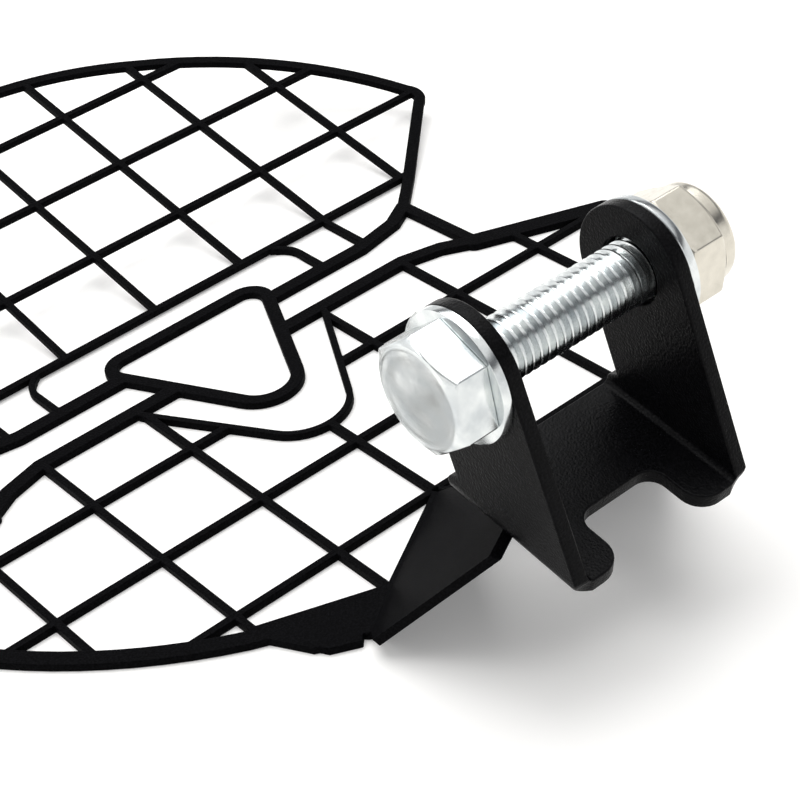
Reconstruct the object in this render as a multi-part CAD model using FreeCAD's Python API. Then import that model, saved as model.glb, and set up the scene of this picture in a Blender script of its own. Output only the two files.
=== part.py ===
import FreeCAD, Part
import math
import os

os.makedirs("parts", exist_ok=True)

# Headlight guard: a cut and folded grille, a welded clevis bracket and the cross bolt that holds it.
# It lies face down as it rests: X is the line of the bolt, Y runs away from the bracket, Z is up.

# Grille sheet
sheet = 1.5
cell = 20.8
bar_wide = 1.4
upper_rows = 3
columns = 3
fold_drop = 1.6
fold_turn = 11.3
upper_frame_wide = 2.4
lower_frame_wide = 3.2
brow_frame_wide = 4.2
cross_bar_wide = 3.0
waist_bar_wide = 2.6

# Upper lobe, right half of its centre line
dome_top = (0.0, 80.5)
dome_shoulder = (44.0, 67.6)
dome_bulge = (66.6, 48.8)
tip_above = (83.0, 22.0)
tip_point = (83.7, 19.4)
tip_below = (82.0, 17.0)
waist_top = (55.4, -9.0)
cross_rise_end = (50.0, -12.2)
cross_straight_end = 40.0
upper_cross_y = -14.2
dome_between = (24.5, 76.9)

# Lower lobe, right half of its centre line
lower_cross_y = -24.6
lower_straight_end = 42.0
lower_bend = (50.0, -26.8)
waist_bottom = (56.0, -30.3)
lower_tip_above = (80.5, -41.3)
lower_tip_point = (83.0, -43.8)
lower_tip_below = (82.4, -47.0)
lower_side_between = (68.2, -68.4)
lower_side_end = (43.4, -88.8)

# Rounded triangle and the thin line around it
triangle_top_y = -8.2
triangle_wide = 2.6
triangle_half_angle = 25.2
triangle_apex_y = -41.1
triangle_apex_radius = 6.8
triangle_corner_radius = 3.8
vee_half_angle = 28.8
vee_apex_y = -54.8
vee_radius = 9.5
thin_wide = 1.3
pocket_x = 31.0
pocket_straight_y = -6.5
pocket_between = (30.2, -2.8)
pocket_top = (27.6, -0.3)

# Arms folded up from the lower edge
arm_line_y = -83.0
arm_line_slope = 31.5
arm_turn = 44.0
arm_bend_radius = 2.0
arm_root_end = 35.75
arm_wide_end = 39.0
arm_flare = 2.1
arm_length = 40.0
arm_gap = 0.75
corner_inner_start = (41.2, -87.4)
corner_inner_along = 24.2
corner_tab = ((31.6, -102.9), (36.4, -100.3), (37.1, -98.9), (37.9, -98.4), (41.4, -91.6))

# Bracket
bracket_sheet = 2.5
gap = 30.0
bracket_bend = 1.0
bracket_turn = 12.0
bracket_past_fold = 31.4
bracket_z = 27.3
base_back = 3.1
base_front = 24.0
hole_back = 1.0
hole_up = 23.9
hole = 11.0
ear_radius = 10.5
ear_lean = 29.0
root_step = 1.3
notch_wide = 15.4
notch_depth = 10.2
notch_radius = 3.0
foot_radius = 4.0

# Bolt, washers and lock nut
bolt = 10.0
bolt_fit = 0.1
bolt_length = 50.0
flats = 17.0
head_height = 6.4
head_chamfer = 30.0
tip_chamfer = 1.2
washer_wide = 21.0
washer_hole = 10.5
washer_thick = 1.5
nut_hex_height = 7.6
nut_height = 10.4
nut_collar = 16.2
nut_collar_hole = 11.6
nut_collar_round = 1.2
insert_height = 2.2
insert_wall = 0.7
nut_lip = 0.6
chamfer_share = 0.475
head_turn = 12.0
nut_turn = 22.0

# Cutting shapes: how far they pass what they cut, and the side of one that is larger than the guard
past = 1.0
far = 400.0


def plan(x, y):
    return FreeCAD.Vector(x, y, 0)


def mirrored(point):
    return (-point[0], point[1])


def line(a, b):
    return Part.makeLine(plan(*a), plan(*b))


def arc(a, between, b):
    return Part.Arc(plan(*a), plan(*between), plan(*b)).toShape()


def both_halves(pieces):
    """Edges of a right half, top to bottom, closed by their mirror image."""
    other = []
    for edge in pieces:
        other.append(edge.mirror(plan(0, 0), plan(1, 0)))
    ordered = Part.sortEdges(pieces + other)[0]
    return Part.Wire(ordered)


def thick(face, height=sheet):
    """A flat face made into a plate whose middle lies at height nought."""
    plate = face.extrude(FreeCAD.Vector(0, 0, height))
    plate.translate(FreeCAD.Vector(0, 0, -height / 2))
    return plate


def ring(wire, wide):
    outer = Part.Face(wire.makeOffset2D(wide / 2))
    inner = Part.Face(wire.makeOffset2D(-wide / 2))
    return thick(outer.cut(inner))


def pair(shape):
    """A piece of the right half with its mirror image."""
    return [shape, shape.mirror(plan(0, 0), plan(1, 0))]


def bar(a, b, wide):
    """A straight strip with round ends."""
    run = plan(*b) - plan(*a)
    side = FreeCAD.Vector(-run.y, run.x, 0).normalize() * (wide / 2)
    corners = [plan(*a) + side, plan(*a) - side, plan(*b) - side, plan(*b) + side, plan(*a) + side]
    strip = thick(Part.Face(Part.makePolygon(corners)))
    ends = []
    for point in (a, b):
        base = FreeCAD.Vector(point[0], point[1], -sheet / 2)
        ends.append(Part.makeCylinder(wide / 2, sheet, base))
    return strip.multiFuse(ends)


def path(points, wide):
    """Straight strips joined end to end."""
    first = bar(points[0], points[1], wide)
    rest = []
    for a, b in zip(points[1:], points[2:]):
        rest.append(bar(a, b, wide))
    return first.multiFuse(rest) if rest else first


def arc_bar(a, between, b, wide):
    """A strip that follows an arc."""
    curve = arc(a, between, b).Curve
    centre = curve.Center
    radius = curve.Radius
    outer = Part.makeCylinder(radius + wide / 2, sheet, centre - FreeCAD.Vector(0, 0, sheet / 2))
    inner = Part.makeCylinder(radius - wide / 2, sheet, centre - FreeCAD.Vector(0, 0, sheet / 2))
    reach = 2 * radius
    out_a = centre + (plan(*a) - centre).normalize() * reach
    out_m = centre + (plan(*between) - centre).normalize() * reach
    out_b = centre + (plan(*b) - centre).normalize() * reach
    sector = Part.Face(Part.makePolygon([centre, out_a, out_m, out_b, centre]))
    return outer.cut(inner).common(thick(sector))


def rounded_vee(top_y, apex_y, half_angle, apex_radius, corner_radius):
    """Closed centre line of a triangle that points down, its apex rounded and its top corners rounded."""
    slope = math.radians(half_angle)
    sharp_y = apex_y - apex_radius * (1 / math.sin(slope) - 1)
    half_top = (top_y - sharp_y) * math.tan(slope)
    touch = apex_radius / math.tan(slope)
    low = (touch * math.sin(slope), sharp_y + touch * math.cos(slope))
    corner = (math.pi / 2 - slope) / 2
    back = corner_radius / math.tan(corner)
    side = (half_top - back * math.sin(slope), top_y - back * math.cos(slope))
    flat = (half_top - back, top_y)
    middle = (flat[0], top_y - corner_radius)
    turn = math.radians(half_angle) / 2 + math.pi / 4
    bulge = (middle[0] + corner_radius * math.sin(turn), middle[1] + corner_radius * math.cos(turn))
    edges = [line((0, top_y), flat), arc(flat, bulge, side), line(side, low)]
    apex = arc(low, (0, apex_y), mirrored(low))
    other = []
    for edge in edges:
        other.append(edge.mirror(plan(0, 0), plan(1, 0)))
    return Part.Wire(Part.sortEdges(edges + other + [apex])[0])


# Outlines of the two lobes
upper_edges = [
    arc(dome_top, dome_between, dome_shoulder),
    arc(dome_shoulder, dome_bulge, tip_above),
    arc(tip_above, tip_point, tip_below),
    line(tip_below, waist_top),
    line(waist_top, cross_rise_end),
    line(cross_rise_end, (cross_straight_end, upper_cross_y)),
    line((cross_straight_end, upper_cross_y), (0, upper_cross_y)),
]
upper_wire = both_halves(upper_edges)
upper_face = Part.Face(upper_wire)

fold_slope = math.radians(arm_line_slope)


def from_fold(along, away):
    """A point of the right arm's fold line: along it from the middle, and away from the grille."""
    x = along * math.cos(fold_slope) - away * math.sin(fold_slope)
    y = arm_line_y - along * math.sin(fold_slope) - away * math.cos(fold_slope)
    return (x, y)


root_end = from_fold(arm_root_end, 0)
corner_inner_end = from_fold(corner_inner_along, 0)
lower_edges = [
    line((0, lower_cross_y), (lower_straight_end, lower_cross_y)),
    line((lower_straight_end, lower_cross_y), lower_bend),
    line(lower_bend, waist_bottom),
    line(waist_bottom, lower_tip_above),
    arc(lower_tip_above, lower_tip_point, lower_tip_below),
    arc(lower_tip_below, lower_side_between, lower_side_end),
    line(lower_side_end, corner_inner_start),
    line(corner_inner_start, corner_inner_end),
    line(corner_inner_end, (0, arm_line_y)),
]
lower_face = Part.Face(both_halves(lower_edges))

# Rounded triangle and the thin line around it
triangle_wire = rounded_vee(
    triangle_top_y, triangle_apex_y, triangle_half_angle, triangle_apex_radius, triangle_corner_radius
)
triangle_hole = Part.Face(triangle_wire.makeOffset2D(-triangle_wide / 2))
vee_wire = rounded_vee(lower_cross_y, vee_apex_y, vee_half_angle, vee_radius, thin_wide)
vee_face = Part.Face(vee_wire)


def lattice(rows, top, bottom):
    """Bars across and along, longer than the lobe, to be trimmed by its outline."""
    bars = []
    reach = (columns + 1.5) * cell
    for row in rows:
        bars.append(bar((-reach, row * cell), (reach, row * cell), bar_wide))
    for column in range(-columns, columns + 1):
        bars.append(bar((column * cell, bottom), (column * cell, top), bar_wide))
    return bars[0].multiFuse(bars[1:])


# Flat plan of the grille
upper_lattice = lattice(range(0, upper_rows + 1), dome_top[1] + cell, 0.0).common(thick(upper_face))
lattice_bottom = corner_inner_end[1] - cell
lower_lattice = lattice((-2, -3, -4), lower_cross_y, lattice_bottom).common(thick(lower_face.cut(vee_face)))
side_centre = arc(lower_tip_below, lower_side_between, lower_side_end).Curve.Center
side_end = plan(*lower_side_end)
across_side = (side_end - side_centre).normalize() * (lower_frame_wide / 2)
corner_points = [plan(*point) for point in (corner_inner_start, corner_inner_end, root_end) + corner_tab]
corner_points = [side_end - across_side] + corner_points + [side_end + across_side, side_end - across_side]
corner = thick(Part.Face(Part.makePolygon(corner_points)))
right_half = [
    path([(cross_straight_end, upper_cross_y), cross_rise_end, waist_top], cross_bar_wide),
    path([(lower_straight_end, lower_cross_y), lower_bend, waist_bottom], cross_bar_wide),
    bar(waist_top, waist_bottom, waist_bar_wide),
    bar(waist_bottom, lower_tip_above, brow_frame_wide),
    arc_bar(lower_tip_above, lower_tip_point, lower_tip_below, lower_frame_wide),
    arc_bar(lower_tip_below, lower_side_between, lower_side_end, lower_frame_wide),
    bar((2 * cell, 0), (2 * cell, upper_cross_y), bar_wide),
    bar((pocket_x, pocket_straight_y), (pocket_x, upper_cross_y), thin_wide),
    arc_bar((pocket_x, pocket_straight_y), pocket_between, pocket_top, thin_wide),
    corner,
]
flat = [
    ring(upper_wire, upper_frame_wide),
    upper_lattice,
    lower_lattice,
    bar((-cross_straight_end, upper_cross_y), (cross_straight_end, upper_cross_y), cross_bar_wide),
    bar((-lower_straight_end, lower_cross_y), (lower_straight_end, lower_cross_y), cross_bar_wide),
    ring(vee_wire, thin_wide),
    ring(triangle_wire, triangle_wide),
]
for piece in right_half:
    flat += pair(piece)
grille = flat[0].multiFuse(flat[1:]).cut(thick(triangle_hole, 3 * sheet)).removeSplitter()


def half_space(toward, turn):
    """Everything on one side of a plane through the fold, leant by half of the fold."""
    box = Part.makeBox(far, far, far, FreeCAD.Vector(-far / 2, 0, -far / 2))
    if toward < 0:
        box = Part.makeBox(far, far, far, FreeCAD.Vector(-far / 2, -far, -far / 2))
    box.rotate(FreeCAD.Vector(0, 0, 0), FreeCAD.Vector(1, 0, 0), turn)
    box.translate(FreeCAD.Vector(0, -fold_drop, 0))
    return box


# The upper lobe is folded up, mitred against the lower one
lower_part = grille.common(half_space(-1, fold_turn / 2))
upper_part = grille.common(half_space(1, -fold_turn / 2))
upper_part.rotate(FreeCAD.Vector(0, -fold_drop, 0), FreeCAD.Vector(1, 0, 0), fold_turn)

# Bracket placement, used to trim the arms and to set the bolt
bracket_y = arm_line_y - bracket_past_fold
bracket_place = FreeCAD.Placement(
    FreeCAD.Vector(0, bracket_y, bracket_z), FreeCAD.Rotation(FreeCAD.Vector(1, 0, 0), bracket_turn)
)

# The right arm: a bend along the fold line, then a flat flange
fold_start = from_fold(arm_gap, 0)
fold_dir = FreeCAD.Vector(-math.cos(fold_slope), math.sin(fold_slope), 0)
bend_axis = FreeCAD.Vector(fold_start[0], fold_start[1], sheet / 2 + arm_bend_radius)
strip = Part.makePolygon([
    plan(*fold_start) - FreeCAD.Vector(0, 0, sheet / 2),
    plan(*root_end) - FreeCAD.Vector(0, 0, sheet / 2),
    plan(*root_end) + FreeCAD.Vector(0, 0, sheet / 2),
    plan(*fold_start) + FreeCAD.Vector(0, 0, sheet / 2),
    plan(*fold_start) - FreeCAD.Vector(0, 0, sheet / 2),
])
bend = Part.Face(strip).revolve(bend_axis, fold_dir, arm_turn)
flange_points = [
    (arm_gap, 0),
    (arm_root_end, 0),
    (arm_wide_end, arm_flare),
    (arm_wide_end, arm_length),
    (arm_gap + arm_length * math.tan(fold_slope), arm_length),
    (arm_gap, 0),
]
flange = thick(Part.Face(Part.makePolygon([plan(*from_fold(*point)) for point in flange_points])))
flange.rotate(bend_axis, fold_dir, arm_turn)
above = Part.makeBox(far, far, far, FreeCAD.Vector(-far / 2, -far / 2, -bracket_sheet))
above.Placement = bracket_place
beyond_middle = Part.makeBox(far / 2, far, far, FreeCAD.Vector(arm_gap / 2 - far / 2, -far / 2, -far / 2))
arm = flange.cut(above).fuse(bend).cut(beyond_middle)
guard = lower_part.multiFuse([upper_part] + pair(arm)).removeSplitter()


# Bracket, built level and then tilted: a base plate with an ear folded up at each side
half = gap / 2
outer_half = half + bracket_sheet
ear_top = hole_up + ear_radius + past
along = base_front + hole_back + ear_radius + 2 * past
block_corner = FreeCAD.Vector(-outer_half, -base_front - past, -bracket_sheet)
block = Part.makeBox(2 * outer_half, along, ear_top + bracket_sheet, block_corner)
inside_corner = FreeCAD.Vector(-half, -base_front - 2 * past, 0)
inside = Part.makeBox(gap, along + 2 * past, ear_top + past, inside_corner)


def long_edges(shape, z):
    """Edges that run from the back to the front of the bracket at one height."""
    found = []
    for edge in shape.Edges:
        box = edge.BoundBox
        if box.YLength > along - past and abs(box.ZMin - z) < 0.01 and abs(box.ZMax - z) < 0.01:
            found.append(edge)
    return found


block = block.makeFillet(bracket_bend + bracket_sheet, long_edges(block, -bracket_sheet))
inside = inside.makeFillet(bracket_bend, long_edges(inside, 0))
channel = block.cut(inside)

lean = math.radians(ear_lean)
up_dir = (-math.sin(lean), math.cos(lean))
side_dir = (math.cos(lean), math.sin(lean))


def profile(forward, up):
    """A point of the side view: forward from the line that the bracket is placed by, and up."""
    return FreeCAD.Vector(-outer_half - past, -forward, up)


def by_hole(side, climb):
    """A point of the side view, found from the bolt hole."""
    forward = -hole_back + side * side_dir[0] + climb * up_dir[0]
    return (forward, hole_up + side * side_dir[1] + climb * up_dir[1])


def on_edge(side, up):
    """Where an ear's straight edge reaches a height."""
    start = by_hole(side, 0)
    climb = (up - start[1]) / up_dir[1]
    return (start[0] + climb * up_dir[0], up)


root_up = 2 * root_step
ear_arc = Part.Arc(
    profile(*by_hole(-ear_radius, 0)), profile(*by_hole(0, ear_radius)), profile(*by_hole(ear_radius, 0))
).toShape()
corners = [
    by_hole(ear_radius, 0),
    on_edge(ear_radius, 0),
    (base_front, -bracket_sheet),
    (-base_back, -bracket_sheet),
    (-base_back, root_step),
    on_edge(-ear_radius, root_up),
    by_hole(-ear_radius, 0),
]
sides = []
for a, b in zip(corners, corners[1:]):
    sides.append(Part.makeLine(profile(*a), profile(*b)))
side_face = Part.Face(Part.Wire([ear_arc] + sides))
side_view = side_face.extrude(FreeCAD.Vector(2 * (outer_half + past), 0, 0))
bracket = channel.common(side_view)


def upright(radius, x, forward, height):
    return Part.makeCylinder(radius, height, FreeCAD.Vector(x, -forward, -height / 2))


notch_half = notch_wide / 2
notch_end = base_front - notch_depth
slot_height = 4 * bracket_sheet
slot_corner = FreeCAD.Vector(-notch_half, -base_front - past, -slot_height / 2)
slot = Part.makeBox(notch_wide, notch_depth + past, slot_height, slot_corner)
slot_corners = []
for edge in slot.Edges:
    box = edge.BoundBox
    if box.ZLength > 1 and abs(box.YMin + notch_end) < 0.01 and box.YLength < 0.01:
        slot_corners.append(edge)
slot = slot.makeFillet(notch_radius, slot_corners)
foot_cuts = []
for sign in (-1, 1):
    x = sign * (notch_half + foot_radius)
    square_corner = FreeCAD.Vector(min(x, sign * notch_half), -base_front, -slot_height / 2)
    square = Part.makeBox(foot_radius, foot_radius, slot_height, square_corner)
    foot_cuts.append(square.cut(upright(foot_radius, x, base_front - foot_radius, 2 * slot_height)))
axis_at = FreeCAD.Vector(0, hole_back, hole_up)
across = FreeCAD.Vector(1, 0, 0)
bore = Part.makeCylinder(hole / 2, 2 * (outer_half + past), axis_at - across * (outer_half + past), across)
bracket = bracket.cut(slot).cut(foot_cuts[0]).cut(foot_cuts[1]).cut(bore).removeSplitter()


def disc(radius, start, length):
    """A cylinder on the line of the bolt."""
    return Part.makeCylinder(radius, length, axis_at + across * start, across)


def hexagon(start, length, turn=0.0):
    """A six-sided prism on the line of the bolt."""
    radius = flats / math.sqrt(3)
    points = []
    for step in range(7):
        angle = math.radians(60 * step + turn)
        offset = FreeCAD.Vector(start, radius * math.cos(angle), radius * math.sin(angle))
        points.append(axis_at + offset)
    return Part.Face(Part.makePolygon(points)).extrude(across * length)


def end_cone(big, start, length, direction):
    """The cone that takes the corners off one end of a hexagon."""
    depth = (flats / math.sqrt(3) - big) * math.tan(math.radians(head_chamfer))
    height = length + depth
    wide = big + height / math.tan(math.radians(head_chamfer))
    return Part.makeCone(big, wide, height, axis_at + across * start, across * direction)


# Washers, the same at both ends
head_face = -outer_half - washer_thick
nut_face = outer_half + washer_thick
washers = []
for start in (head_face, outer_half):
    washers.append(disc(washer_wide / 2, start, washer_thick).cut(disc(washer_hole / 2, start, washer_thick)))

# Bolt: chamfered hexagon head, shank as long as the standard bolt, chamfered end
head_end = head_face - head_height
chamfer_radius = chamfer_share * flats
head = hexagon(head_end, head_height, head_turn).common(end_cone(chamfer_radius, head_end, head_height, 1))
shank_radius = (bolt - bolt_fit) / 2
shank_end = head_face + bolt_length
shank = disc(shank_radius, head_face, bolt_length - tip_chamfer)
point = Part.makeCone(
    shank_radius, shank_radius - tip_chamfer, tip_chamfer, axis_at + across * (shank_end - tip_chamfer), across
)
bolt_shape = head.multiFuse([shank, point]).removeSplitter()

# Lock nut: hexagon with a round collar crimped over a soft ring
nut_end = nut_face + nut_height
hex_end = nut_face + nut_hex_height
hex_part = hexagon(nut_face, nut_hex_height, nut_turn)
hex_part = hex_part.common(end_cone(chamfer_radius, hex_end, nut_hex_height, -1))
hex_part = hex_part.common(end_cone(chamfer_radius, nut_face, nut_hex_height, 1))
collar_start = hex_end - nut_lip
collar = disc(nut_collar / 2, collar_start, nut_end - collar_start)
collar_edge = [edge for edge in collar.Edges if edge.BoundBox.XMin > axis_at.x + nut_end - 0.01]
collar = collar.makeFillet(nut_collar_round, collar_edge)
insert_start = nut_end - nut_lip - insert_height
insert_radius = nut_collar_hole / 2 + insert_wall
ring_space = disc(insert_radius, insert_start, insert_height)
nut = hex_part.fuse(collar).cut(disc(bolt / 2, nut_face, nut_height)).cut(ring_space)
nut = nut.cut(disc(nut_collar_hole / 2, nut_end - nut_lip, nut_lip)).removeSplitter()
insert = ring_space.cut(disc(shank_radius, insert_start, insert_height))

pieces = {
    "guard_plate": guard,
    "bracket": bracket,
    "bolt": bolt_shape,
    "washers": Part.makeCompound(washers),
    "nut": nut,
    "nut_ring": insert,
}
for name in list(pieces)[1:]:
    pieces[name].Placement = bracket_place

# The whole is set on the ground, the middle of its plan at the origin
bound = Part.makeCompound(list(pieces.values())).BoundBox
move = FreeCAD.Vector(-bound.Center.x, -bound.Center.y, -bound.ZMin)
for name, shape in pieces.items():
    shape.translate(move)
    shape.exportStep("parts/" + name + ".step")
    print(name, shape.isValid(), len(shape.Solids), round(shape.Volume, 1), shape.BoundBox)
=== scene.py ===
# %% [markdown]
# The headlight guard
#
# A guard for a round headlight: a grille cut from one steel sheet, its upper lobe folded up a little and two
# arms folded back, a clevis bracket welded to the arms, and one cross bolt with two washers and a lock nut.
# The solid model is the frame. Each piece made here sits on it, in metres.

# %% Load the frame
import math

import bpy
from mathutils import Matrix, Vector


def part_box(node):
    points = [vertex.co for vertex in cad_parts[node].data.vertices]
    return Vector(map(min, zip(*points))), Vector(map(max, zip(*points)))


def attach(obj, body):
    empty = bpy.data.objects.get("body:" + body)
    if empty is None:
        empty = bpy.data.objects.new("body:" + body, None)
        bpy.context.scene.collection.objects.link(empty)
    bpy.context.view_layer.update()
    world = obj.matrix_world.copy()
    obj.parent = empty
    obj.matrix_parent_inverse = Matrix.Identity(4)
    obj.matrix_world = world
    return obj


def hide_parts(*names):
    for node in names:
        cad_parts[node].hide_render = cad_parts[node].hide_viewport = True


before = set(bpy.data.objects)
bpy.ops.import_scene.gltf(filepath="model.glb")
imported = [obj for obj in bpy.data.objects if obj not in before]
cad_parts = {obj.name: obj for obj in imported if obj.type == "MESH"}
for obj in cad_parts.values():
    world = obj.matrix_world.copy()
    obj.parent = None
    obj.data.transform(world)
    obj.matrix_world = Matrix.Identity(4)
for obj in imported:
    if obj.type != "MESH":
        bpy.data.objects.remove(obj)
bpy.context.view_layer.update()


# %% [markdown]
# Sizes are written in millimetres, as a maker would, and one function turns them to metres. The line of the
# bolt is read from the two washers, which lie round it.

# %% Sizes shared by the pieces
def mm(value):
    return value / 1000.0


washer_low, washer_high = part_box("washers")
bolt_low, bolt_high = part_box("bolt")
nut_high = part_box("nut")[1]
bolt_line = (washer_low + washer_high) / 2
head_end = bolt_low.x * 1000
head_face = washer_low.x * 1000
nut_face = washer_high.x * 1000
nut_end = nut_high.x * 1000
shank_end = bolt_high.x * 1000
print("line of the bolt, mm:", round(bolt_line.y * 1000, 2), round(bolt_line.z * 1000, 2))
print("head, washers, nut and end along X, mm:", head_end, head_face, nut_face, nut_end, shank_end)


# %% [markdown]
# Operators act on whatever is selected, and the loaded solids start out selected. These helpers pick one
# object, put its place into its mesh, and apply a modifier at once.

# %% Helpers for one piece at a time
def only(piece):
    bpy.ops.object.select_all(action="DESELECT")
    piece.select_set(True)
    bpy.context.view_layer.objects.active = piece
    return piece


def added(name):
    piece = bpy.context.object
    piece.name = name
    piece.data.name = name
    return piece


def settle(piece):
    only(piece)
    bpy.ops.object.transform_apply(location=True, rotation=True, scale=True)
    return piece


def modify(piece, kind, **settings):
    only(piece)
    modifier = piece.modifiers.new(kind.title(), kind)
    for key, value in settings.items():
        setattr(modifier, key, value)
    bpy.ops.object.modifier_apply(modifier=modifier.name)
    return piece


def join_by(piece, tool, operation):
    modify(piece, "BOOLEAN", object=tool, operation=operation, solver="EXACT")
    bpy.data.objects.remove(tool)
    return piece


def merge(piece, distance=0.002):
    only(piece)
    bpy.ops.object.mode_set(mode="EDIT")
    bpy.ops.mesh.select_all(action="SELECT")
    bpy.ops.mesh.remove_doubles(threshold=mm(distance))
    bpy.ops.mesh.normals_make_consistent(inside=False)
    bpy.ops.object.mode_set(mode="OBJECT")
    return piece


# %% [markdown]
# A stamped, forged or coated edge is never sharp. One helper rounds the sharp edges of a shape by a small
# width. Another lets the large flat faces set the shading, so that they stay flat to the eye.

# %% Round the edges
def bevelled(piece, width, sharp=30.0, segments=2):
    return modify(
        piece, "BEVEL", width=mm(width), segments=segments, limit_method="ANGLE",
        angle_limit=math.radians(sharp), use_clamp_overlap=False
    )


def smoothed(piece, sharp):
    only(piece)
    bpy.ops.object.shade_smooth_by_angle(angle=math.radians(sharp))
    return piece


def shaded(piece, sharp=50.0):
    smoothed(piece, sharp)
    return modify(piece, "WEIGHTED_NORMAL", mode="FACE_AREA", weight=50, keep_sharp=True)


# %% [markdown]
# Round pieces are turned, as on a lathe: a circle is added, then extruded and scaled ring by ring along Z.
# Each ring is a distance along and a radius, in millimetres. A ring such as a washer closes on itself, and
# any other piece has a flat cap at each end.

# %% Turn a round piece
def turned(name, rings, closed=False, steps=96):
    bpy.ops.object.select_all(action="DESELECT")
    along, radius = rings[0]
    ends = "NOTHING" if closed else "NGON"
    bpy.ops.mesh.primitive_circle_add(
        vertices=steps, radius=mm(radius), location=(0, 0, mm(along)), fill_type=ends
    )
    piece = settle(added(name))
    bpy.ops.object.mode_set(mode="EDIT")
    bpy.ops.mesh.select_all(action="SELECT")
    for next_along, next_radius in rings[1:]:
        climb = (0, 0, mm(next_along - along))
        bpy.ops.mesh.extrude_region_move(TRANSFORM_OT_translate={"value": climb})
        share = next_radius / radius
        bpy.ops.transform.resize(value=(share, share, 1), center_override=(0, 0, mm(next_along)))
        along, radius = next_along, next_radius
    bpy.ops.object.mode_set(mode="OBJECT")
    return merge(piece)


# %% [markdown]
# The bolt, washers and nut are all made standing on Z and then laid down on the line of the bolt. A hexagon
# is turned about that line to the angle at which the photograph shows its corners.

# %% Lay a piece on the line of the bolt
def laid(piece, corner=0.0):
    lay = Matrix.Rotation(math.pi / 2, 4, "Y")
    spin = Matrix.Rotation(math.radians(corner), 4, "X")
    piece.matrix_world = Matrix.Translation((0, bolt_line.y, bolt_line.z)) @ spin @ lay
    settle(piece)
    return piece


# %% [markdown]
# An outline is drawn as with a pen: a plane is merged to one point, and the point is extruded from place to
# place. An arc is a run of such places, worked out from its middle, its radius and its two angles.

# %% Draw a line and an arc
def drawn(name, points):
    start = [mm(value) for value in points[0]]
    bpy.ops.object.select_all(action="DESELECT")
    bpy.ops.mesh.primitive_plane_add(size=mm(0.1), location=start)
    piece = settle(added(name))
    bpy.ops.object.mode_set(mode="EDIT")
    bpy.ops.mesh.select_all(action="SELECT")
    bpy.ops.mesh.merge(type="CENTER")
    for here, there in zip(points, points[1:]):
        step = [mm(b - a) for a, b in zip(here, there)]
        bpy.ops.mesh.extrude_region_move(TRANSFORM_OT_translate={"value": step})
    bpy.ops.object.mode_set(mode="OBJECT")
    return piece


def arc(middle, radius, start, end, steps):
    points = []
    for step in range(steps + 1):
        angle = math.radians(start + (end - start) * step / steps)
        points.append((middle[0] + radius * math.cos(angle), middle[1] + radius * math.sin(angle)))
    return points


# %% [markdown]
# Colours are written as they look on a screen, and one function turns them to the linear values that the
# renderer works in. One more adds a node with its settings and links.

# %% Colours and nodes
def linear(code):
    channels = [int(code[i:i + 2], 16) / 255 for i in (0, 2, 4)]
    channels = [c / 12.92 if c <= 0.04045 else ((c + 0.055) / 1.055) ** 2.4 for c in channels]
    return (*channels, 1.0)


def node(tree, kind, links=(), stops=(), **settings):
    item = tree.nodes.new(kind)
    for key, value in settings.items():
        name = key.replace("_", " ")
        if name in item.inputs:
            item.inputs[name].default_value = value
        else:
            setattr(item, key, value)
    for number, (position, code) in enumerate(stops):
        elements = item.color_ramp.elements
        element = elements[number] if number < 2 else elements.new(position)
        element.position = position
        element.color = linear(code)
    for source, target in links:
        tree.links.new(source, item.inputs[target])
    return item


def fresh(data):
    """A material or world with nothing in it but its output."""
    data.use_nodes = True
    tree = data.node_tree
    tree.nodes.clear()
    kind = "ShaderNodeOutputWorld" if isinstance(data, bpy.types.World) else "ShaderNodeOutputMaterial"
    return tree, tree.nodes.new(kind)


# %% [markdown]
# Powder coat is a dry paint, sprayed on and melted in an oven. It is a dielectric, with an IOR of about 1.5,
# but its pores dim its shine, so its specular level is low. It sets to fine wrinkles about a third of a
# millimetre apart, deeper in some places than in others. Its base colour is painted a little paler on the
# crests than in the hollows, a painted highlight standing in for the glints of light on them. The wide
# bracket came out glossier than the thin plate, so one function makes both finishes.

# %% Black powder coat
def powder_coat(name, smooth, rough, shine):
    material = bpy.data.materials.new(name)
    tree, output = fresh(material)
    place = node(tree, "ShaderNodeTexCoord").outputs["Object"]
    wrinkle_size = mm(0.36)
    grain_size = mm(0.15)
    cloud_size = mm(14.0)
    wrinkle = node(tree, "ShaderNodeTexNoise", [(place, "Vector")], Scale=1 / wrinkle_size, Detail=2.0)
    grain = node(tree, "ShaderNodeTexNoise", [(place, "Vector")], Scale=1 / grain_size, Detail=2.0)
    cloud = node(tree, "ShaderNodeTexNoise", [(place, "Vector")], Scale=1 / cloud_size, Detail=4.0)
    depth = node(
        tree, "ShaderNodeMapRange", [(cloud.outputs["Fac"], "Value")],
        From_Min=0.35, From_Max=0.65, To_Min=0.5, To_Max=1.0
    )
    wrinkle_bump = node(
        tree, "ShaderNodeBump", [(wrinkle.outputs["Fac"], "Height"), (depth.outputs["Result"], "Strength")],
        Distance=mm(0.14)
    )
    grain_bump = node(
        tree, "ShaderNodeBump",
        [(grain.outputs["Fac"], "Height"), (wrinkle_bump.outputs["Normal"], "Normal")],
        Strength=0.35, Distance=mm(0.03)
    )
    # Painted highlight: the base colour is paler on the wrinkle crests and stands in for glints of light
    # there; the black itself is the coat's own colour.
    black_and_painted_glints = node(
        tree, "ShaderNodeValToRGB", [(wrinkle.outputs["Fac"], "Fac")],
        stops=[(0.4, "060607"), (0.7, "101012")]
    )
    sheen = node(
        tree, "ShaderNodeMapRange", [(cloud.outputs["Fac"], "Value")], To_Min=smooth, To_Max=rough
    )
    surface = node(
        tree, "ShaderNodeBsdfPrincipled",
        [(black_and_painted_glints.outputs["Color"], "Base Color"), (sheen.outputs["Result"], "Roughness"),
         (grain_bump.outputs["Normal"], "Normal")],
        IOR=1.5, Specular_IOR_Level=shine
    )
    tree.links.new(surface.outputs["BSDF"], output.inputs["Surface"])
    return material


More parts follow.
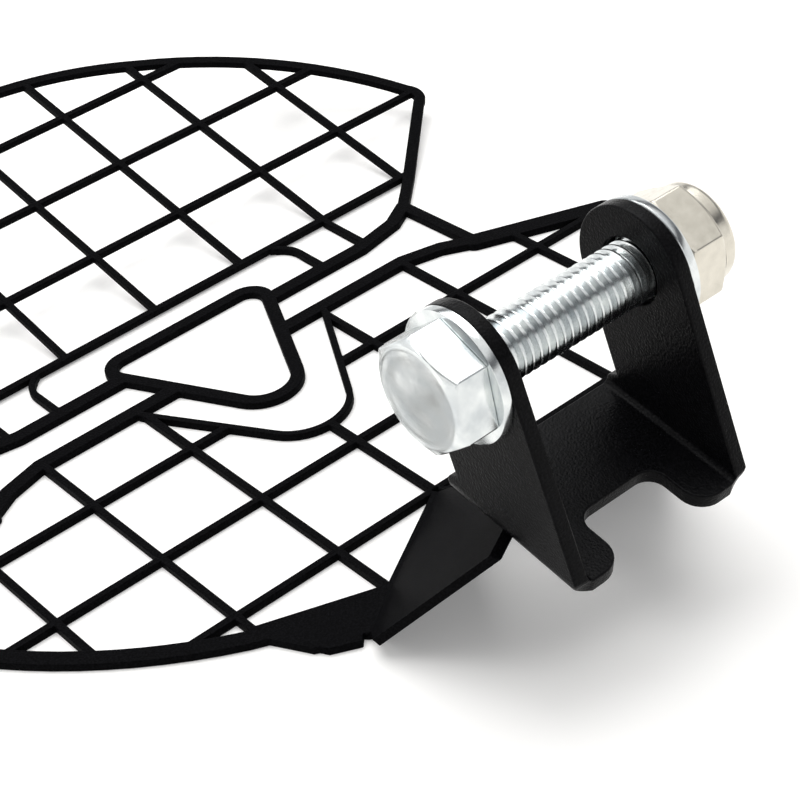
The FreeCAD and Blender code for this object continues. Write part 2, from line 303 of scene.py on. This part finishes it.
bracket_coat = powder_coat("satin_black_powder_coat", 0.24, 0.32, 0.055)
plate_coat = powder_coat("matt_black_powder_coat", 0.44, 0.54, 0.01)
print("materials:", bracket_coat.name, plate_coat.name)


# %% [markdown]
# The bolt and washers are steel with a bright zinc plate, a blue-white metal that the bath leaves smooth but
# not like a mirror, with soft clouds and fine marks from the barrel it was plated in. The nut is another
# metal, plain stainless steel, forged and tumbled: warmer, duller and mottled. Both are made by one function.

# %% Bright zinc plate and stainless steel
def metal(name, dark, light, smooth, rough, cloud_size, mark_size, mark_strength):
    material = bpy.data.materials.new(name)
    tree, output = fresh(material)
    place = node(tree, "ShaderNodeTexCoord").outputs["Object"]
    cloud = node(tree, "ShaderNodeTexNoise", [(place, "Vector")], Scale=1 / mm(cloud_size), Detail=5.0)
    tone = node(
        tree, "ShaderNodeValToRGB", [(cloud.outputs["Fac"], "Fac")], stops=[(0.3, dark), (0.7, light)]
    )
    gloss = node(
        tree, "ShaderNodeMapRange", [(cloud.outputs["Fac"], "Value")],
        From_Min=0.3, From_Max=0.7, To_Min=rough, To_Max=smooth
    )
    stretch = node(tree, "ShaderNodeMapping", [(place, "Vector")], Scale=(1.0, 0.2, 1.0))
    marks = node(
        tree, "ShaderNodeTexNoise", [(stretch.outputs["Vector"], "Vector")],
        Scale=1 / mm(mark_size), Detail=4.0, Roughness=0.7
    )
    bump = node(
        tree, "ShaderNodeBump", [(marks.outputs["Fac"], "Height")], Strength=mark_strength, Distance=mm(0.02)
    )
    surface = node(
        tree, "ShaderNodeBsdfPrincipled",
        [(tone.outputs["Color"], "Base Color"), (gloss.outputs["Result"], "Roughness"),
         (bump.outputs["Normal"], "Normal")],
        Metallic=1.0
    )
    tree.links.new(surface.outputs["BSDF"], output.inputs["Surface"])
    return material


zinc = metal("bright_zinc_plate", "c0c5c7", "e3e6e5", 0.13, 0.26, 3.5, 0.3, 0.3)
stainless = metal("tumbled_stainless_steel", "c9c4b8", "d8d3c7", 0.18, 0.26, 2.4, 0.25, 0.5)
print("materials:", zinc.name, stainless.name)


# %% [markdown]
# The ring inside the nut's collar is nylon, a milky plastic that grips the thread.

# %% Nylon
def nylon():
    material = bpy.data.materials.new("milky_nylon")
    tree, output = fresh(material)
    place = node(tree, "ShaderNodeTexCoord").outputs["Object"]
    cloud_size = mm(2.0)
    cloud = node(tree, "ShaderNodeTexNoise", [(place, "Vector")], Scale=1 / cloud_size, Detail=3.0)
    tone = node(
        tree, "ShaderNodeValToRGB", [(cloud.outputs["Fac"], "Fac")], stops=[(0.3, "dedbd0"), (0.7, "efece4")]
    )
    bump = node(tree, "ShaderNodeBump", [(cloud.outputs["Fac"], "Height")], Strength=0.3, Distance=mm(0.05))
    surface = node(
        tree, "ShaderNodeBsdfPrincipled",
        [(tone.outputs["Color"], "Base Color"), (bump.outputs["Normal"], "Normal")],
        Roughness=0.42, IOR=1.53
    )
    tree.links.new(surface.outputs["BSDF"], output.inputs["Surface"])
    return material


ring_plastic = nylon()
print("material:", ring_plastic.name)


# %% [markdown]
# Every finished piece gets its one material, rides on the single body, and hides the solid it stands for.

# %% Hand over a finished piece
def finish(piece, material, stands_for):
    piece.data.materials.clear()
    piece.data.materials.append(material)
    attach(piece, "root")
    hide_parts(stands_for)
    print(piece.name, "faces:", len(piece.data.polygons))
    return piece


# %% [markdown]
# The guard plate keeps the shape of its solid. The coat rounds every cut edge, so it gets a copy with its
# loose triangles merged and its edges bevelled by a fraction of a millimetre. Along the fold between the two
# lobes the solid has very short edges, which a bevel would throw out as spikes, so they are merged further.

# %% Guard plate
fold_line = 27.45
fold_reach = 0.7
merge_loose = 0.02
merge_fold = 0.3
cut_edge_round = 0.2
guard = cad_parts["guard_plate"].copy()
guard.data = guard.data.copy()
guard.parent = None
guard.name = "coated_guard_plate"
guard.data.name = "coated_guard_plate"
bpy.context.scene.collection.objects.link(guard)
only(guard)
bpy.ops.object.mode_set(mode="EDIT")
bpy.ops.mesh.select_mode(type="VERT")
bpy.ops.mesh.select_all(action="SELECT")
bpy.ops.mesh.remove_doubles(threshold=mm(merge_loose))
bpy.ops.mesh.select_all(action="DESELECT")
bpy.ops.object.mode_set(mode="OBJECT")
for vertex in guard.data.vertices:
    vertex.select = abs(vertex.co.y - mm(fold_line)) < mm(fold_reach)
bpy.ops.object.mode_set(mode="EDIT")
bpy.ops.mesh.remove_doubles(threshold=mm(merge_fold))
bpy.ops.object.mode_set(mode="OBJECT")
bevelled(guard, cut_edge_round, sharp=35.0)
shaded(guard)
finish(guard, plate_coat, "guard_plate")


# %% [markdown]
# The bracket is cut flat from 2.5 mm sheet and its two ears are folded up in a press. It is made here in the
# same order. Half of the flat outline is drawn, in millimetres from the middle and forward from the back.
# The ears' lengths are those of the finished bracket, and each fold takes the length of its middle layer.

# %% Flat outline of the bracket
bracket_sheet = 2.5
fold_radius = 1.0
ear_inside = 15.0
fold_start = ear_inside - fold_radius
fold_length = (fold_radius + bracket_sheet / 2) * math.pi / 2
fold_end = fold_start + fold_length
base_front = 24.1
base_back = -3.1
hole_up = 23.9
hole_forward = -1.0
hole_radius = 5.5
ear_lean = 29.0
ear_radius = 10.5
lean = math.radians(ear_lean)
bracket_tilt = 12.0
root_low = 1.3
root_high = 2.6
notch_half = 7.7
notch_end = 13.8
notch_radius = 3.0
foot_radius = 4.0
bracket_edge_round = 0.3


def ear_edge(side, up):
    """How far forward an ear's front (1) or back (-1) edge is at a height."""
    return hole_forward + side * ear_radius / math.cos(lean) + (hole_up - up) * math.tan(lean)


def along_sheet(up):
    return fold_end + up - fold_radius


hole_at = (along_sheet(hole_up), hole_forward)
outline = [(0.0, notch_end)]
outline += arc((notch_half - notch_radius, notch_end + notch_radius), notch_radius, -90, 0, 8)
outline += arc((notch_half + foot_radius, base_front - foot_radius), foot_radius, 180, 90, 8)
for turn in (0, 30, 50, 65, 78, 90):
    up = fold_radius - (fold_radius + bracket_sheet / 2) * math.cos(math.radians(turn))
    outline.append((fold_start + fold_length * turn / 90, min(base_front, ear_edge(1, up))))
outline += arc(hole_at, ear_radius, 90 - ear_lean, -90 - ear_lean, 40)
outline += [(along_sheet(root_high), ear_edge(-1, root_high)), (along_sheet(root_low), base_back)]
outline += [(fold_start, base_back), (0.0, base_back)]
print("half outline of the bracket:", len(outline), "points")


# %% [markdown]
# The half is mirrored and filled, the sheet gets its thickness, the bolt holes are cut, and all edges are
# rounded while the sheet is still flat and simple.

# %% Blank of the bracket
blank = drawn("folded_bracket", [(along, -forward, 0.0) for along, forward in outline])
modify(blank, "MIRROR", use_axis=(True, False, False), merge_threshold=mm(0.01))
bpy.ops.object.mode_set(mode="EDIT")
bpy.ops.mesh.select_all(action="SELECT")
bpy.ops.mesh.edge_face_add()
bpy.ops.mesh.extrude_region_move(TRANSFORM_OT_translate={"value": (0, 0, mm(-bracket_sheet))})
bpy.ops.mesh.select_all(action="SELECT")
bpy.ops.mesh.normals_make_consistent(inside=False)
bpy.ops.object.mode_set(mode="OBJECT")
for side in (-1, 1):
    drill = turned("drill", [(-bracket_sheet - 1, hole_radius), (1, hole_radius)], steps=64)
    drill.location = (side * mm(hole_at[0]), mm(-hole_at[1]), 0)
    join_by(blank, settle(drill), "DIFFERENCE")
bevelled(blank, bracket_edge_round, sharp=35.0)
print("blank:", len(blank.data.polygons), "faces")


# %% [markdown]
# Cuts are made across each fold, and then each point beyond the start of a fold is moved as the press moves
# it: round the fold's centre as far as the fold goes, and straight on from there. The Bend tool would need a
# window. So tight a fold stretches the outside of the sheet, which draws in there and leaves a small hollow
# at the front end of the fold, as the photograph shows. Last the bracket is tilted, and set by its bolt holes
# on the line of the bolt.

# %% Fold the bracket
only(blank)
bpy.ops.object.mode_set(mode="EDIT")
fold_steps = 10
draw_in = 0.9
for side in (-1, 1):
    for step in range(fold_steps + 1):
        bpy.ops.mesh.select_all(action="SELECT")
        place = side * mm(fold_start + fold_length * step / fold_steps)
        bpy.ops.mesh.bisect(plane_co=(place, 0, 0), plane_no=(1, 0, 0))
bpy.ops.object.mode_set(mode="OBJECT")
for vertex in blank.data.vertices:
    beyond = abs(vertex.co.x) - mm(fold_start)
    if beyond > 0:
        turn = min(beyond / mm(fold_length), 1) * math.pi / 2
        straight = max(beyond - mm(fold_length), 0)
        radius = mm(fold_radius) - vertex.co.z
        out = mm(fold_start) + radius * math.sin(turn) + straight * math.cos(turn)
        if vertex.co.y < mm(1 - base_front):
            stretched = math.sin(2 * turn) * -vertex.co.z / mm(bracket_sheet)
            vertex.co.y += mm(draw_in) * stretched
        vertex.co.x = math.copysign(out, vertex.co.x)
        vertex.co.z = mm(fold_radius) - radius * math.cos(turn) + straight * math.sin(turn)
tilt = Matrix.Rotation(math.radians(bracket_tilt), 4, "X")
blank.matrix_world = (
    Matrix.Translation((0, bolt_line.y, bolt_line.z)) @ tilt
    @ Matrix.Translation((0, mm(hole_forward), mm(-hole_up)))
)
settle(blank)
shaded(blank)
finish(blank, bracket_coat, "bracket")


# %% [markdown]
# A stamped washer has one rim rounded by the die and one left sharper. It is turned as a closed ring. The
# second washer is the same one, copied to the other end and turned over.

# %% Washers
washer_outer = (washer_high.z - washer_low.z) * 500
washer_inner = 5.25
washer_thick = 1.5
rim_round = 0.35
rim_sharp = 0.12


def washer(name, start, toward):
    section = [
        (0, washer_inner + rim_sharp),
        (0, washer_outer - rim_round),
        (rim_round * 0.3, washer_outer - rim_round * 0.3),
        (rim_round, washer_outer),
        (washer_thick - rim_sharp, washer_outer),
        (washer_thick, washer_outer - rim_sharp),
        (washer_thick, washer_inner + rim_round),
        (washer_thick - rim_round, washer_inner),
        (rim_sharp, washer_inner),
        (0, washer_inner + rim_sharp),
    ]
    piece = turned(name, [(start + toward * along, radius) for along, radius in section], closed=True)
    return laid(smoothed(piece, 35.0))


finish(washer("head_washer", head_face, 1), zinc, "washers")
finish(washer("nut_washer", nut_face, -1), zinc, "washers")


# %% [markdown]
# The head is a forged hexagon, its outer corners turned off by a 30 degree cone, and its end is dished a
# little, which leaves a low round rim. A six-sided prism is cut to the shape that it shares with a turned
# blank, and its edges are rounded a little.

# %% Hexagons
flats = 17.0
corner_radius = flats / math.sqrt(3)
chamfer_radius = 0.475 * flats
chamfer_rise = (corner_radius - chamfer_radius) * math.tan(math.radians(30.0))
spare = 0.4


def hexagon(name, start, end, both_ends):
    bpy.ops.object.select_all(action="DESELECT")
    bpy.ops.mesh.primitive_cylinder_add(
        vertices=6, radius=mm(corner_radius), depth=mm(end - start + 2 * spare),
        location=(0, 0, mm((start + end) / 2))
    )
    prism = settle(added(name))
    large = corner_radius + spare
    rise = chamfer_rise + spare * math.tan(math.radians(30.0))
    rings = [(start, chamfer_radius), (start + rise, large)]
    if both_ends:
        rings += [(end - rise, large), (end, chamfer_radius)]
    else:
        dish = [(0.2, 3.0), (0.19, 4.5), (0.14, 5.6), (0.05, 6.4), (0.01, 6.9), (0.0, 7.3)]
        rings = [(start + depth, radius) for depth, radius in dish] + rings + [(end, large)]
    return join_by(prism, turned(name + "_blank", rings), "INTERSECT")


# %% [markdown]
# The thread is real: a coarse M10, which rises 1.5 mm a turn. One tooth is drawn as a line, a Screw modifier
# sweeps it round and up, its two open ends are filled, and it is trimmed to length by a turned bar with a
# chamfered end.

# %% Thread
pitch = 1.5
crest = 4.95
root = 4.1
crest_flat = 0.3
root_flat = 0.36


def thread(name, start, end, chamfer):
    flank = (pitch - crest_flat - root_flat) / 2
    tooth = [(0, root), (root_flat, root), (root_flat + flank, crest),
             (root_flat + flank + crest_flat, crest), (pitch, root)]
    below = start - 2 * pitch
    piece = drawn(name, [(radius, 0.0, below + along) for along, radius in tooth])
    turns = math.ceil((end - start) / pitch) + 4
    modify(
        piece, "SCREW", axis="Z", angle=2 * math.pi, screw_offset=mm(pitch), iterations=turns, steps=48,
        render_steps=48, use_merge_vertices=True, merge_threshold=mm(0.002), use_smooth_shade=False
    )
    bpy.ops.object.mode_set(mode="EDIT")
    bpy.ops.mesh.select_all(action="SELECT")
    bpy.ops.mesh.remove_doubles(threshold=mm(0.002))
    bpy.ops.mesh.fill_holes(sides=0)
    bpy.ops.mesh.select_all(action="SELECT")
    bpy.ops.mesh.normals_make_consistent(inside=False)
    bpy.ops.object.mode_set(mode="OBJECT")
    bar = turned(name + "_bar", [(start, crest + 1), (end - chamfer - 1, crest + 1), (end, crest - chamfer)])
    return join_by(piece, bar, "INTERSECT")


# %% [markdown]
# The head and the threaded shank are one piece of metal, so they are joined to one object. The shank starts a
# little inside the head. The head's turn is the angle at which the photograph shows its corners.

# %% Bolt
head_turn = 24.0
head_edge_round = 0.25
shank_overlap = 0.5
shank_chamfer = 1.2
bolt_piece = hexagon("hex_head", head_end, head_face, False)
shaded(bevelled(bolt_piece, head_edge_round, sharp=20.0))
shank = thread("shank", head_face - shank_overlap, shank_end, shank_chamfer)
laid(bolt_piece, head_turn)
smoothed(laid(shank), 30.0)
bolt_piece.select_set(True)
bpy.context.view_layer.objects.active = bolt_piece
bpy.ops.object.join()
bolt_piece.name = "hex_bolt"
bolt_piece.data.name = "hex_bolt"
finish(bolt_piece, zinc, "bolt")


# %% [markdown]
# The lock nut is a hexagon with both ends turned to a cone, and above it a thin round collar that was rolled
# over a nylon ring. The collar is turned and joined to the hexagon, then the bore is taken out.

# %% Lock nut
nut_turn = 34.0
nut_edge_round = 0.35
hex_height = 7.6
hex_top = nut_face + hex_height
collar_overlap = 0.6
collar_radius = 8.1
collar_round = 1.2
bore_radius = 5.0
opening_radius = 5.8
ring_radius = 6.5
groove_step = 0.001
past_end = 0.5
ring_low, ring_high = [corner.x * 1000 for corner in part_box("nut_ring")]
lock_nut = bevelled(hexagon("lock_nut", nut_face, hex_top, True), nut_edge_round, sharp=20.0)
turn_steps = 6
collar_rings = [(hex_top - collar_overlap, collar_radius), (nut_end - collar_round, collar_radius)]
for step in range(1, turn_steps + 1):
    angle = math.pi / 2 * step / turn_steps
    collar_rings.append((
        nut_end - collar_round * (1 - math.sin(angle)), collar_radius - collar_round * (1 - math.cos(angle))
    ))
collar = turned("collar", collar_rings)
join_by(lock_nut, collar, "UNION")
bore = [
    (nut_face - past_end, bore_radius), (ring_low, bore_radius), (ring_low + groove_step, ring_radius),
    (ring_high, ring_radius), (ring_high + groove_step, opening_radius), (nut_end + past_end, opening_radius)
]
join_by(lock_nut, turned("bore", bore), "DIFFERENCE")
laid(lock_nut, nut_turn)
shaded(lock_nut, 40.0)
finish(lock_nut, stainless, "nut")

ring_inner = 4.95
ring_edge = 0.15
ring_section = [
    (ring_low, ring_inner), (ring_low, ring_radius), (ring_high, ring_radius),
    (ring_high, ring_inner + ring_edge), (ring_high - ring_edge, ring_inner), (ring_low, ring_inner)
]
nylon_ring = smoothed(laid(turned("nylon_ring", ring_section, closed=True)), 35.0)
finish(nylon_ring, ring_plastic, "nut_ring")


# %% [markdown]
# The floor is plain and pale. Where the camera, a reflection or glass sees it, a little light of its own
# brings it to white, and the rest of its brightness comes from the lamps, so the guard's shadow stays on it.
# Far from the guard, where the lamps hardly reach, its own light takes over, so it stays white to its edge.
# The stage's sizes are in metres.

# %% Floor
def seen_directly(tree):
    """1 where the camera, a reflection or glass sees the surface, else 0."""
    path = node(tree, "ShaderNodeLightPath").outputs
    plainly = node(
        tree, "ShaderNodeMath", [(path["Is Camera Ray"], 0), (path["Is Glossy Ray"], 1)], operation="ADD"
    )
    return node(
        tree, "ShaderNodeMath", [(plainly.outputs["Value"], 0), (path["Is Transmission Ray"], 1)],
        operation="ADD", use_clamp=True
    )


floor_size = 6.0
near_reach, far_reach = 0.35, 1.0
near_lift, far_lift = 0.2, 0.75
bpy.ops.object.select_all(action="DESELECT")
bpy.ops.mesh.primitive_plane_add(size=floor_size, location=(0, 0, 0))
floor = added("studio_floor")
floor_paint = bpy.data.materials.new("white_floor_paint")
tree, output = fresh(floor_paint)
seen = seen_directly(tree)
place = node(tree, "ShaderNodeTexCoord").outputs["Object"]
reach = node(tree, "ShaderNodeVectorMath", [(place, 0)], operation="LENGTH")
far = node(
    tree, "ShaderNodeMapRange", [(reach.outputs["Value"], "Value")],
    From_Min=near_reach, From_Max=far_reach, To_Min=near_lift, To_Max=far_lift
)
lift = node(
    tree, "ShaderNodeMath", [(seen.outputs["Value"], 0), (far.outputs["Result"], 1)], operation="MULTIPLY"
)
matt = node(tree, "ShaderNodeBsdfDiffuse", Color=linear("f1f0ee"))
glow = node(tree, "ShaderNodeEmission", [(lift.outputs["Value"], "Strength")], Color=linear("ffffff"))
both = node(tree, "ShaderNodeAddShader", [(matt.outputs["BSDF"], 0), (glow.outputs["Emission"], 1)])
tree.links.new(both.outputs["Shader"], output.inputs["Surface"])
floor.data.materials.append(floor_paint)
print("floor:", floor.name)


# %% [markdown]
# The room is a photographer's: a white sweep low down all round, a dim stretch above it, and a wide white
# light overhead. The camera, the metal and the coat see it as it is. It lights the guard more weakly.

# %% World
lighting_strength = 0.6
seen_strength = 1.0
world = bpy.data.worlds.new("studio_room")
bpy.context.scene.world = world
tree, output = fresh(world)
way = node(tree, "ShaderNodeTexCoord").outputs["Generated"]
height = node(tree, "ShaderNodeSeparateXYZ", [(way, "Vector")])
room = node(
    tree, "ShaderNodeValToRGB", [(height.outputs["Z"], "Fac")],
    stops=[(0.3, "ffffff"), (0.44, "58595d"), (0.56, "626367"), (0.72, "ffffff")]
)
seen = seen_directly(tree)
strength = node(
    tree, "ShaderNodeMapRange", [(seen.outputs["Value"], "Value")],
    To_Min=lighting_strength, To_Max=seen_strength
)
light = node(
    tree, "ShaderNodeBackground", [(room.outputs["Color"], "Color"), (strength.outputs["Result"], "Strength")]
)
tree.links.new(light.outputs["Background"], output.inputs["Surface"])


# %% [markdown]
# One wide soft lamp hangs overhead, so the shadow is pale and soft. Its own white face is what the top sides
# of the bolt and the nut reflect. A second, weaker one stands behind and to the left.

# %% Lamps
def lamp(name, place, aim, size, power):
    bpy.ops.object.light_add(type="AREA", location=place)
    item = bpy.context.object
    item.name = name
    item.data.shape = "SQUARE"
    item.data.size = size
    item.data.energy = power
    item.rotation_euler = (Vector(aim) - Vector(place)).to_track_quat("-Z", "Y").to_euler()
    return item


lamp_aim = (0, -0.03, 0.02)
lamp("soft_lamp_above", (0.1, 0.25, 0.9), lamp_aim, 1.0, 10.0)
lamp("soft_lamp_behind", (-0.9, 0.7, 0.6), lamp_aim, 0.6, 4.0)
print("lamps: 2")


# %% [markdown]
# The camera stands where the photograph was taken from, found by fitting the guard's corners to it.

# %% Camera
camera_data = bpy.data.cameras.new("camera")
camera = bpy.data.objects.new("camera", camera_data)
bpy.context.scene.collection.objects.link(camera)
camera.location = (mm(-157.2), mm(-276.16), mm(218.15))
camera.rotation_euler = [math.radians(angle) for angle in (53.6625, 7.3521, -39.9770)]
camera_data.sensor_width = 36.0
camera_data.lens = 93.78
camera_data.clip_start = 0.01
bpy.context.scene.camera = camera
bpy.context.scene.view_settings.view_transform = "Standard"
print("camera lens, mm:", camera_data.lens)
